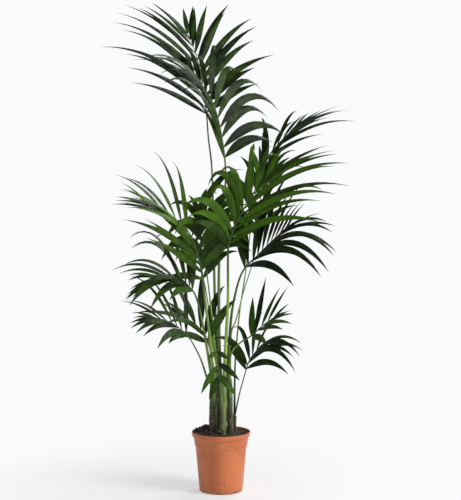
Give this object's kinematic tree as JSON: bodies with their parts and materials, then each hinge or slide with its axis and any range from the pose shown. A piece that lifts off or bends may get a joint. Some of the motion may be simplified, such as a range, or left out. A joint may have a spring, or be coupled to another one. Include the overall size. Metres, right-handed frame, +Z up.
{
  "type": "potted kentia palm",
  "caption": "Tall potted kentia palm with slender sheathed stems, arching pinnate fronds of long dark green leaflets, and a terracotta coloured plastic nursery pot",
  "frame": {"origin": "centre of the pot's flat underside, on the surface that it stands on", "axes": "+Z up along the stems, -Y the front, +X to the right seen from the front"},
  "size_m": [0.9163, 0.842, 1.784],
  "materials": {
    "plastic": "thin satin terracotta coloured plastic, turned bands under the rim",
    "compost": "dark damp potting compost, lumpy and matt",
    "sheath": "fibrous leaf sheaths, mottled brown and dark green",
    "leaf": "ribbed leaflets with a satin gloss, mid to dark green, paler below",
    "stalk": "smooth yellow green stalks, darker toward the leaflets"
  },
  "bodies": {
    "root": {"pot": "plastic", "soil": "compost", "stem_left": "sheath", "stem_back": "sheath", "stem_front": "sheath", "stem_right": "sheath", "stem_slim": "sheath", "frond_top": "leaf", "frond_high": "leaf", "frond_left_upper": "leaf", "frond_centre": "leaf", "frond_left_centre": "leaf", "frond_right_back": "leaf", "frond_right_top": "leaf", "frond_right_inner": "leaf", "frond_left_lower": "leaf", "frond_left_lowest": "leaf", "frond_left_young": "leaf", "frond_left_dark": "leaf", "frond_low_front": "leaf", "frond_right_low": "leaf", "frond_right_droop": "leaf"}
  },
  "joints": []
}
